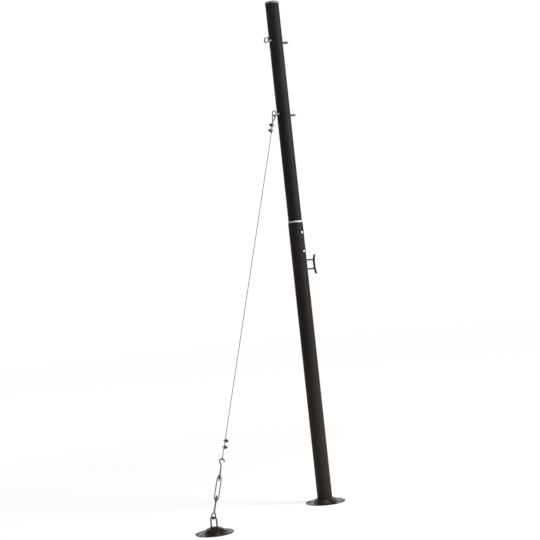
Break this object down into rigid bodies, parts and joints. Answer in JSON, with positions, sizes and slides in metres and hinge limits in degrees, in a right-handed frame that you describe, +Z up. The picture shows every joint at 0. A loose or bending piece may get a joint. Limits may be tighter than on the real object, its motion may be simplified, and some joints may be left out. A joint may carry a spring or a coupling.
{
  "type": "shade sail mast",
  "caption": "Two-part tube mast on a domed foot plate, held leaning by a taut wire guy with a turnbuckle to a domed anchor plate; ring eyes and a rope cleat take a shade sail.",
  "frame": {"origin": "centre of the foot plate's underside, on the ground", "axes": "+Z up, -X toward the guy's anchor plate, +X toward the sail, joint screws on the -Y side"},
  "size_m": [0.86, 0.186, 2.3797],
  "materials": {
    "plate_black": "gloss black enamel on pressed steel",
    "loop_black": "black enamel on steel bar",
    "lower_tube_black": "satin black powder coat",
    "upper_tube_black": "satin black powder coat",
    "collar_grey": "light grey moulded plastic",
    "cap_grey": "mid grey moulded plastic",
    "screw_steel": "bright zinc-plated steel",
    "eye_steel": "polished stainless steel",
    "cleat_black": "satin black",
    "thimble_zinc": "zinc-plated steel",
    "wire_zinc": "galvanised steel strand",
    "clip_saddle": "yellow-passivated zinc",
    "clip_zinc": "dull zinc-plated steel",
    "turnbuckle_zinc": "galvanised steel"
  },
  "bodies": {
    "ground": {"foot_plate": "plate_black", "anchor_plate": "plate_black", "anchor_loop": "loop_black"},
    "mast": {"lower_tube": "lower_tube_black", "joint_collar": "collar_grey", "upper_tube": "upper_tube_black", "top_cap": "cap_grey", "joint_screw_upper": "screw_steel", "joint_screw_lower": "screw_steel", "outer_upper_eye": "eye_steel", "inner_upper_eye": "eye_steel", "outer_lower_eye": "eye_steel", "inner_lower_eye": "eye_steel", "cleat": "cleat_black"},
    "guy_lower": {"turnbuckle_eye": "turnbuckle_zinc"},
    "turnbuckle": {"turnbuckle_body": "turnbuckle_zinc"},
    "guy_upper": {"thimble": "thimble_zinc", "guy_wire": "wire_zinc", "top_clip_1_saddle": "clip_saddle", "top_clip_1_bolt": "clip_zinc", "top_clip_1_nuts": "clip_zinc", "top_clip_2_saddle": "clip_saddle", "top_clip_2_bolt": "clip_zinc", "top_clip_2_nuts": "clip_zinc", "low_clip_1_saddle": "clip_saddle", "low_clip_1_bolt": "clip_zinc", "low_clip_1_nuts": "clip_zinc", "low_clip_2_saddle": "clip_saddle", "low_clip_2_bolt": "clip_zinc", "low_clip_2_nuts": "clip_zinc", "turnbuckle_hook": "turnbuckle_zinc"}
  },
  "joints": [
    {"name": "mast_lean", "type": "hinge", "parent": "ground", "child": "mast", "pos_m": [0, 0, -0.088], "axis": [0, 1, 0], "range_deg": [-1.2, 1.2]},
    {"name": "guy_swing", "type": "hinge", "parent": "ground", "child": "guy_lower", "pos_m": [-0.685, 0, 0.066], "axis": [0, 1, 0], "range_deg": [-1.3, 1.3]},
    {"name": "guy_take_up", "type": "slide", "parent": "guy_lower", "child": "guy_upper", "axis": [0.3158, 0, 0.9488], "range_m": [-0.0155, 0.0155]},
    {"name": "turnbuckle_turn", "type": "hinge", "parent": "guy_lower", "child": "turnbuckle", "pos_m": [-0.685, 0, 0.066], "axis": [0.3158, 0, 0.9488], "range_deg": [-2200, 2200]}
  ],
  "couplings": [
    {"joint": "guy_swing", "follows": "mast_lean", "ratio": 0.96237},
    {"joint": "guy_take_up", "follows": "mast_lean", "m_per_rad": 0.69858},
    {"joint": "turnbuckle_turn", "follows": "mast_lean", "ratio": -1755.7}
  ]
}
